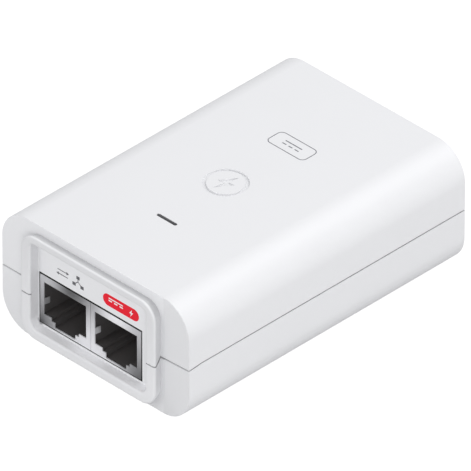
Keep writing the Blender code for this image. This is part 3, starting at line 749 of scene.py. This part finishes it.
def hollow_case(piece):
    """Cuts the inside and the two end windows."""
    cavity = rounded_rectangle(HALF_WIDTH - WALL, WALL, CASE_TOP - WALL, CORNER - WALL, 12)
    carve(piece, prism_along_y(cavity, FLOOR + FRONT_WALL, REAR - WALL))
    jacks_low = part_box("lan_jack_shield")[0]
    jacks_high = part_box("poe_jack_shield")[1]
    window_low = (jacks_low.x - GAP_LEFT, FLOOR - 0.5 * MM, jacks_low.z - GAP_BELOW)
    window_high = (jacks_high.x + GAP_RIGHT, FLOOR + 3 * MM, jacks_high.z + GAP_ABOVE)
    carve(piece, box(window_low, window_high))
    low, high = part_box("ac_inlet_housing")
    outline = inlet_outline((low.x, low.z), (high.x, high.z), INLET_CUT, 0.2 * MM)
    carve(piece, prism_along_y(outline, REAR - 2 * WALL, REAR + WALL))


def rounded_loop(centre, half_length, half_width, corner, steps=10):
    """(x, y) points of a rounded rectangle about a centre."""
    points = rounded_rectangle(half_length, -half_width, half_width, corner, steps)
    return [(centre[0] + x, centre[1] + y) for x, y in points]


def circle(centre, radius, steps=48):
    """(x, y) points of a circle."""
    angles = [2 * math.pi / steps * i for i in range(steps)]
    return [(centre[0] + radius * math.cos(angle), centre[1] + radius * math.sin(angle)) for angle in angles]


def bolt(centre, size, swap=False):
    """Points of a lightning bolt, size high."""
    shape = ((0.12, 0.5), (-0.30, -0.08), (-0.04, -0.08), (-0.12, -0.5), (0.30, 0.10), (0.04, 0.10))
    if swap:
        shape = tuple((-x, y) for x, y in shape)
    return [(centre[0] + x * size, centre[1] + y * size) for x, y in shape]


def flat_ring(outer, inner, bottom, top, place):
    """A closed band between two outlines of equally many points; place puts an outline point at a depth."""
    bm = bmesh.new()
    loops = []
    for outline, depth in ((outer, bottom), (outer, top), (inner, top), (inner, bottom)):
        loops.append([bm.verts.new(place(point, depth)) for point in outline])
    count = len(outer)
    for i, loop in enumerate(loops):
        following = loops[(i + 1) % 4]
        for j in range(count):
            k = (j + 1) % count
            bm.faces.new((loop[j], loop[k], following[k], following[j]))
    return bm


def on_top(point, height):
    return (point[0], point[1], height)


def on_floor(point, depth):
    return (point[0], depth, point[1])


def settle(piece, node=None, body="case"):
    """Registers a piece: what it stands for and the body that carries it."""
    if node:
        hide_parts(node)
    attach(piece, body)
    return piece


def make_case(plastic):
    top = add_piece("top_moulding", loft(case_rings()), plastic)
    hollow_case(top)
    bottom = top.copy()
    bottom.data = top.data.copy()
    bottom.name = "bottom_moulding"
    bpy.context.scene.collection.objects.link(bottom)
    carve(top, half_space(-1))
    carve(bottom, half_space(1))
    slot = stadium(window_place(), WINDOW_LENGTH, WINDOW_WIDTH)
    carve(top, prism_along_z(slot, CASE_TOP - 2 * WALL, CASE_TOP + WALL))
    cut_from = CASE_TOP - MARK_DEPTH
    outer = circle(MARK_CENTRE, MARK_RADIUS)
    inner = circle(MARK_CENTRE, MARK_RADIUS - MARK_LINE)
    carve(top, flat_ring(outer, inner, cut_from, CASE_TOP + WALL, on_top))
    spark = bolt(MARK_CENTRE, MARK_BOLT)
    carve(top, prism_along_z(spark, cut_from, CASE_TOP + WALL))
    for piece, node in ((top, "top_shell"), (bottom, "bottom_shell")):
        settle_shading(piece)
        settle(piece, node)


def window_place():
    low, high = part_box("led_light_pipe")
    return ((low.x + high.x) / 2, (low.y + high.y) / 2)


def make_light_pipe(material):
    """A smoked bar that carries the light of the LED up through the lid."""
    place = window_place()
    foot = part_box("led_light_pipe")[0].z
    length = WINDOW_LENGTH - 2 * WINDOW_GAP
    width = WINDOW_WIDTH - 2 * WINDOW_GAP
    crown = 0.12 * MM
    top = CASE_TOP - WINDOW_SINK
    levels = (
        (foot, 3.0 * MM, 0.85 * MM),
        (CASE_TOP - 2 * WALL, 3.6 * MM, width),
        (CASE_TOP - WALL, length, width),
        (top - crown, length, width),
        (top - crown * 0.35, length - crown * 0.5, width - crown * 0.5),
        (top, length - crown * 1.6, width - crown * 1.6),
    )
    rings = [[(x, y, z) for x, y in stadium(place, long, wide)] for z, long, wide in levels]
    settle(add_piece("light_pipe", loft(rings), material), "led_light_pipe")


def plate(name, outline, surface, place, material):
    """A flat print on a surface; the sign of INK is outwards."""
    outward = INK if place is on_top else -INK
    depths = (surface - outward * 0.5, surface + outward)
    rings = [[place(point, depth) for point in outline] for depth in depths]
    return settle(add_piece(name, loft(rings), material))


def bar(start, end, width):
    """Points of a straight stroke with square ends."""
    along = Vector((end[0] - start[0], end[1] - start[1])).normalized() * width / 2
    side = (-along.y, along.x)
    points = []
    for point, end_sign, side_sign in ((start, -1, 1), (start, -1, -1), (end, 1, -1), (end, 1, 1)):
        x = point[0] + end_sign * along.x + side_sign * side[0]
        y = point[1] + end_sign * along.y + side_sign * side[1]
        points.append((x, y))
    return points


def make_badge(ink):
    """A rounded outline with the direct-current sign inside: a full line over a broken one."""
    outer = rounded_loop(BADGE_CENTRE, BADGE_HALF_LENGTH, BADGE_HALF_WIDTH, BADGE_CORNER)
    grow = BADGE_LINE
    inner = rounded_loop(BADGE_CENTRE, BADGE_HALF_LENGTH - grow, BADGE_HALF_WIDTH - grow, BADGE_CORNER - grow)
    ring = flat_ring(outer, inner, CASE_TOP - INK * 0.5, CASE_TOP + INK, on_top)
    settle(add_piece("badge_outline", ring, ink))
    x, y = BADGE_CENTRE
    over, under = y + 0.55 * MM, y - 0.55 * MM
    stroke = 0.3 * MM
    line = bar((x - 2.4 * MM, over), (x + 2.4 * MM, over), stroke)
    plate("badge_line", line, CASE_TOP, on_top, ink)
    for i in (-1, 0, 1):
        middle = x + i * 1.9 * MM
        dash = bar((middle - 0.45 * MM, under), (middle + 0.45 * MM, under), stroke)
        plate(f"badge_dash_{i + 2}", dash, CASE_TOP, on_top, ink)


def make_port_labels(grey_ink, red_ink, white_ink):
    """Signs over the ports: data arrows and linked nodes on the left, a bolt on a red pill on the right."""
    level = LABEL_HEIGHT
    for i, (rise, way) in enumerate(((0.55, 1), (-0.55, -1))):
        z = level + rise * MM
        tail = (ARROWS_X - way * 1.5 * MM, z)
        tip = (ARROWS_X + way * 1.2 * MM, z)
        plate(f"arrow_stem_{i + 1}", bar(tail, tip, 0.22 * MM), FLOOR, on_floor, grey_ink)
        head = [(tip[0], z + 0.42 * MM), (tip[0], z - 0.42 * MM), (tip[0] + way * 0.8 * MM, z)]
        plate(f"arrow_head_{i + 1}", head, FLOOR, on_floor, grey_ink)
    nodes = ((0.0, 1.1), (-1.25, -0.95), (1.25, -0.95))
    for i, (dx, dz) in enumerate(nodes):
        x, z = GLYPH_X + dx * MM, level + dz * MM
        corners = ((-1, -1), (1, -1), (1, 1), (-1, 1))
        block = [(x + a * 0.5 * MM, z + b * 0.42 * MM) for a, b in corners]
        plate(f"node_sign_{i + 1}", block, FLOOR, on_floor, grey_ink)
        link = bar((GLYPH_X, level + 0.05 * MM), (GLYPH_X + dx * 0.7 * MM, level + dz * 0.7 * MM), 0.2 * MM)
        plate(f"node_link_{i + 1}", link, FLOOR, on_floor, grey_ink)
    pill = stadium((PILL_X, level), 2 * PILL_HALF_LENGTH, 2 * PILL_HALF_HEIGHT, 16)
    plate("power_pill", pill, FLOOR, on_floor, red_ink)
    over = FLOOR - INK
    plate("power_bolt", bolt((PILL_X + 3.2 * MM, level), 2.0 * MM), over, on_floor, white_ink)
    for i in range(3):
        x = PILL_X - (3.3 - 1.7 * i) * MM
        stroke = bar((x - 0.35 * MM, level), (x + 0.35 * MM, level), 0.34 * MM)
        plate(f"power_dash_{i + 1}", stroke, over, on_floor, white_ink)
    wave = bar((PILL_X - 3.65 * MM, level + 0.62 * MM), (PILL_X + 0.45 * MM, level + 0.62 * MM), 0.3 * MM)
    plate("power_line", wave, over, on_floor, white_ink)


# ---------------------------------------------------------------- jacks


def port_outline(centre_x, bottom, grow=0.0):
    """(x, z) points of a port with its two steps down to the latch's keyway."""
    right = []
    for half, high, low in PORT_STEPS:
        right.append((half * MM + grow, high * MM + (grow if not right else -grow)))
        right.append((half * MM + grow, low * MM - grow))
    points = right + [(-x, z) for x, z in reversed(right)]
    return [(centre_x + x, bottom + z) for x, z in points]


def make_can(port, tin):
    """The sheet-metal can of one jack, with two springs that press on the plug's own shield."""
    low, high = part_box(f"{port}_jack_shield")
    middle = (low.x + high.x) / 2
    if port == "lan":
        high.x += JOINT_CLOSING
    else:
        low.x -= JOINT_CLOSING
    can = add_piece(f"{port}_can", box(low, high), tin)
    bevel = can.modifiers.new("fold", "BEVEL")
    bevel.width = SHEET_ROUND
    bevel.segments = 3
    bpy.context.view_layer.update()
    folded = bpy.data.meshes.new_from_object(can.evaluated_get(bpy.context.evaluated_depsgraph_get()))
    can.modifiers.clear()
    can.data = folded
    inner_low = (low.x + SHEET, low.y + SHEET, low.z - 1 * MM)
    inner_high = (high.x - SHEET, high.y - SHEET, high.z - SHEET)
    carve(can, box(inner_low, inner_high))
    carve(can, prism_along_y(port_outline(middle, low.z), low.y - 1 * MM, low.y + 3 * SHEET))
    for side in (-1, 1):
        wall = middle + side * PORT_STEPS[0][0] * MM
        outline = (
            (wall + side * SHEET, low.y + 0.05 * MM),
            (wall - side * 0.05 * MM, low.y + 0.05 * MM),
            (wall - side * TAB_BEND, low.y + TAB_LENGTH * 0.8),
            (wall - side * TAB_BEND * 0.6, low.y + TAB_LENGTH),
            (wall - side * TAB_BEND * 0.1, low.y + TAB_LENGTH * 0.8),
            (wall + side * SHEET, low.y + SHEET * 0.9),
        )
        carve(can, prism_along_z(outline, low.z + TAB_BOTTOM, low.z + TAB_TOP), "UNION")
    can.data.shade_smooth()
    can.data.set_sharp_from_angle(angle=math.radians(40))
    settle(can, f"{port}_jack_shield")


def make_gap_shadow_frame(black):
    """A black frame in the gap between the cans and the case, a little behind the recess floor: painted shade
    standing in for the gap's shadow.
    """
    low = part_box("lan_jack_shield")[0]
    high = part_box("poe_jack_shield")[1]
    front = FLOOR + SHADOW_FRAME_SINK
    outer_low = (low.x - GAP_LEFT + SHADOW_FRAME_SLACK, front, low.z - GAP_BELOW + SHADOW_FRAME_SLACK)
    outer_high = (high.x + GAP_RIGHT - SHADOW_FRAME_SLACK, front + 1.2 * MM, high.z + GAP_ABOVE - SHADOW_FRAME_SLACK)
    shadow_frame = add_piece("jack_gap_shadow_frame", box(outer_low, outer_high), black)
    inner_low = (low.x - SHADOW_FRAME_SLACK, front - 1 * MM, low.z - SHADOW_FRAME_SLACK)
    inner_high = (high.x + SHADOW_FRAME_SLACK, front + 3 * MM, high.z + SHADOW_FRAME_SLACK)
    carve(shadow_frame, box(inner_low, inner_high))
    settle(shadow_frame, None)


def wire_path():
    """(y, z) points of a wire about its bend: a short tail, a half-turn and the long sloping spring."""
    points = [(1.2 * MM, HAIRPIN_RADIUS)]
    turn = math.pi - WIRE_SLOPE
    for i in range(WIRE_SIDES + 1):
        angle = math.pi / 2 + turn * i / WIRE_SIDES
        points.append((HAIRPIN_RADIUS * math.cos(angle), HAIRPIN_RADIUS * math.sin(angle)))
    y, z = points[-1]
    for i in range(1, 9):
        run = WIRE_REACH * i / 8
        sag = 0.05 * MM * math.sin(math.pi * i / 8)
        points.append((y + run * math.cos(WIRE_SLOPE), z - run * math.sin(WIRE_SLOPE) - sag))
    return points


def make_wire(name, place, gold, body):
    """One round spring wire, swept along its path."""
    points = [Vector((0, y, z)) for y, z in wire_path()]
    rings = []
    for i, point in enumerate(points):
        before = points[max(i - 1, 0)]
        after = points[min(i + 1, len(points) - 1)]
        along = (after - before).normalized()
        across = Vector((0, -along.z, along.y))
        ring = []
        for j in range(WIRE_SIDES):
            angle = 2 * math.pi * j / WIRE_SIDES
            sideways = Vector((1, 0, 0)) * WIRE_RADIUS * math.cos(angle)
            ring.append(place + point + sideways + across * WIRE_RADIUS * math.sin(angle))
        rings.append(ring)
    settle(add_piece(f"{name}_wire", loft(rings), gold), name, body)


def make_wires(port, gold):
    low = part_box(f"{port}_jack_shield")[0]
    for i in range(1, 9):
        name = f"{port}_contact_{i}"
        node_low, node_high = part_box(name)
        place = Vector(((node_low.x + node_high.x) / 2, low.y + WIRE_BEND_Y, low.z + WIRE_BEND_Z))
        make_wire(name, place, gold, f"{port}_contacts")


# ---------------------------------------------------------------- mains inlet


def make_inlet(plastic):
    """The moulded inlet: a chamfered block with a deep socket and a soft edge."""
    low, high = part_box("ac_inlet_housing")
    block = inlet_outline((low.x, low.z), (high.x, high.z), INLET_CUT)
    housing = add_piece("inlet_moulding", prism_along_y(block, low.y, high.y), plastic)
    centre_z = (low.z + high.z) / 2
    socket_low = (-SOCKET_HALF_WIDTH, centre_z - SOCKET_HALF_HEIGHT)
    socket_high = (SOCKET_HALF_WIDTH, centre_z + SOCKET_HALF_HEIGHT)
    socket = inlet_outline(socket_low, socket_high, SOCKET_CUT)
    carve(housing, prism_along_y(socket, high.y - SOCKET_DEPTH, high.y + 1 * MM))
    for pin in ("line", "neutral", "earth"):
        pin_low, pin_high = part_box(f"inlet_pin_{pin}")
        gap = 0.05 * MM
        hole_low = (pin_low.x - gap, low.y - 1 * MM, pin_low.z - gap)
        hole_high = (pin_high.x + gap, high.y - SOCKET_DEPTH + 1 * MM, pin_high.z + gap)
        carve(housing, box(hole_low, hole_high))
    soften(housing, 0.25 * MM, 2)
    settle(housing, "ac_inlet_housing")


def make_pin(pin, brass):
    """A flat blade with a tapered, rounded tip."""
    low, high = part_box(f"inlet_pin_{pin}")
    centre = (low + high) / 2
    half_x = (high.x - low.x) / 2
    half_z = (high.z - low.z) / 2
    rings = []
    for y, inset in (
        (low.y, 0.0),
        (high.y - 1.2 * MM, 0.0),
        (high.y - 0.5 * MM, 0.22 * MM),
        (high.y - 0.1 * MM, 0.5 * MM),
        (high.y, 0.75 * MM),
    ):
        corner = 0.35 * MM if inset < 0.3 * MM else 0.2 * MM
        outline = rounded_rectangle(half_x - inset, -half_z + inset, half_z - inset, corner, 4)
        rings.append([(centre.x + x, y, centre.z + z) for x, z in outline])
    settle(add_piece(f"{pin}_blade", loft(rings), brass), f"inlet_pin_{pin}")


# ---------------------------------------------------------------- stage


def aim(obj, target):
    obj.rotation_mode = "QUATERNION"
    obj.rotation_quaternion = (Vector(target) - obj.location).to_track_quat("-Z", "Y")


def add_camera():
    """An isometric view from far off through a very long lens: parallel edges stay all but parallel."""
    camera_data = bpy.data.cameras.new("camera")
    camera_data.lens = LENS
    camera_data.sensor_width = SENSOR
    camera_data.clip_start = 0.01
    camera_data.clip_end = 10
    camera = bpy.data.objects.new("camera", camera_data)
    bpy.context.scene.collection.objects.link(camera)
    level = math.cos(ELEVATION)
    back = Vector((math.sin(AZIMUTH) * level, -math.cos(AZIMUTH) * level, math.sin(ELEVATION)))
    right = Vector((math.cos(AZIMUTH), math.sin(AZIMUTH), 0))
    up = back.cross(right)
    centre = Vector((0, (FRONT + REAR) / 2, cad_high.z / 2))
    target = centre + right * SHIFT_RIGHT + up * SHIFT_UP
    camera.location = target + back * (PICTURE_WIDTH * LENS / SENSOR)
    aim(camera, target)
    bpy.context.scene.camera = camera


def add_softbox(name, place, width, height, power, unseen_by):
    light = bpy.data.lights.new(name, "AREA")
    light.shape = "RECTANGLE"
    light.size = width
    light.size_y = height
    light.energy = power
    lamp = bpy.data.objects.new(name, light)
    bpy.context.scene.collection.objects.link(lamp)
    lamp.location = place
    aim(lamp, (0, 0, 15 * MM))
    setattr(lamp, unseen_by, False)


def add_floor():
    """A plain pale sheet that glows white to the camera alone, so its whiteness doesn't light the case."""
    bm = bmesh.new()
    bmesh.ops.create_grid(bm, x_segments=1, y_segments=1, size=1.5)
    material, tree, shader = new_material("paper", 0.9, specular=0.0)
    shader.inputs["Base Color"].default_value = (PAPER_GREY, PAPER_GREY, PAPER_GREY, 1)
    glow = tree.nodes.new("ShaderNodeEmission")
    glow.inputs["Color"].default_value = (1, 1, 1, 1)
    glow.inputs["Strength"].default_value = PAPER_GLOW
    path = tree.nodes.new("ShaderNodeLightPath")
    blend = tree.nodes.new("ShaderNodeMixShader")
    seen = reckon(tree, "MULTIPLY", path.outputs["Is Camera Ray"], GLOW_SHARE)
    tree.links.new(seen, blend.inputs["Fac"])
    tree.links.new(shader.outputs["BSDF"], blend.inputs[1])
    tree.links.new(glow.outputs["Emission"], blend.inputs[2])
    tree.links.new(blend.outputs["Shader"], tree.nodes["Material Output"].inputs["Surface"])
    floor = add_piece("floor", bm, material)
    floor.location.z = -0.05 * MM


def add_light():
    world = bpy.data.worlds.new("studio")
    world.use_nodes = True
    bpy.context.scene.world = world
    background = world.node_tree.nodes["Background"]
    background.inputs["Color"].default_value = ROOM_COLOUR
    background.inputs["Strength"].default_value = ROOM_LIGHT
    for softbox in SOFTBOXES:
        add_softbox(*softbox)


def set_view():
    scene = bpy.context.scene
    scene.view_settings.view_transform = "Standard"
    scene.view_settings.look = "None"
    scene.view_settings.exposure = 0
    scene.view_settings.gamma = 1


# ---------------------------------------------------------------- assembly

GRAIN = moulded_grain_group()
ROLLED = rolled_sheet_group()
# Painted reflections on the tin, with a random mottle.
TIN_REFLECTION_AND_MOTTLE = tin_painted_reflection_and_mottle_group()
BOARD = board_pattern_group()
# Painted shade and light on the case's raised frame.
PAINTED_FRAME_SHADE = painted_frame_shade_group()
WINDING = winding_group()

set_view()
add_camera()
add_floor()
add_light()

# The case's white, with painted shade and light on its raised frame.
white_plastic = case_plastic("white_plastic", (0.818, 0.82, 0.836), 0.42)
black_plastic = moulded_plastic("black_plastic", (0.030, 0.028, 0.030), 0.45)
jack_plastic = moulded_plastic("jack_plastic", (0.085, 0.080, 0.080), 0.40)
# Near-black for the frame that stands in for the shadow in the jacks' gap: painted shade.
gap_shadow_black = moulded_plastic("gap_shadow_black", (0.006, 0.006, 0.006), 0.8, specular=0.1)
# Tin with painted reflections.
tinned_steel = tin_with_painted_reflections("tinned_steel", (0.95, 0.95, 0.98), 0.36)
gold_plate = sheet_metal("gold_plate", (0.85, 0.62, 0.28), 0.25)
pin_brass = sheet_metal("pin_brass", (0.78, 0.62, 0.32), 0.30)
smoked_lens = moulded_plastic("smoked_lens", (0.045, 0.045, 0.05), 0.2, grain_depth=0.001 * MM)
grey_ink = printed_ink("grey_ink", (0.12, 0.12, 0.13))
badge_ink = printed_ink("badge_ink", (0.22, 0.22, 0.24))
red_ink = printed_ink("red_ink", (0.80, 0.010, 0.028))
white_ink = printed_ink("white_ink", (0.85, 0.85, 0.85))

make_case(white_plastic)
make_light_pipe(smoked_lens)
make_badge(badge_ink)
make_port_labels(grey_ink, red_ink, white_ink)
make_gap_shadow_frame(gap_shadow_black)
for port in PORTS:
    make_can(port, tinned_steel)
    make_wires(port, gold_plate)
make_inlet(black_plastic)
for pin in ("line", "neutral", "earth"):
    make_pin(pin, pin_brass)

INNER_FINISHES = {
    "main_pcb": circuit_board("green_board"),
    "insulating_sheet": moulded_plastic("fibre_sheet", (0.62, 0.58, 0.46), 0.7, 1500.0, mottle=0.12),
    "status_led": moulded_plastic("clear_led", (0.85, 0.84, 0.78), 0.2),
    "x_capacitor": moulded_plastic("yellow_film", (0.75, 0.55, 0.08), 0.35),
    "varistor": moulded_plastic("blue_ceramic", (0.05, 0.15, 0.42), 0.4, grain_scale=2500.0, mottle=0.15),
    "line_choke_core": moulded_plastic("ferrite", (0.045, 0.045, 0.05), 0.6, grain_scale=3000.0, mottle=0.25),
    "line_choke_coil_front": wound_wire("enamelled_copper", (0.55, 0.22, 0.08), 0.6),
    "bulk_capacitor": moulded_plastic("black_sleeve", (0.02, 0.02, 0.025), 0.3),
    "heat_sink": sheet_metal("aluminium", (0.80, 0.80, 0.82), 0.35),
    "heat_sink_screw": sheet_metal("zinc_plate", (0.62, 0.63, 0.65), 0.3),
    "transformer_winding": wound_wire("yellow_tape", (0.80, 0.62, 0.10), 0.0),
    "lan_jack_housing": jack_plastic,
    "fuse": moulded_plastic("fuse_body", (0.10, 0.09, 0.08), 0.4, mottle=0.1),
}
SAME_FINISH = {
    "poe_jack_housing": "lan_jack_housing",
    "lan_contact_insert": "lan_jack_housing",
    "poe_contact_insert": "lan_jack_housing",
    "y_capacitor": "varistor",
    "transformer_core": "line_choke_core",
    "output_inductor": "line_choke_core",
    "line_choke_coil_rear": "line_choke_coil_front",
    "output_capacitor_large": "bulk_capacitor",
    "output_capacitor_small": "bulk_capacitor",
}
for node_name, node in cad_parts.items():
    if node.hide_render:
        continue
    finish = INNER_FINISHES.get(SAME_FINISH.get(node_name, node_name), black_plastic)
    node.data.materials.clear()
    node.data.materials.append(finish)
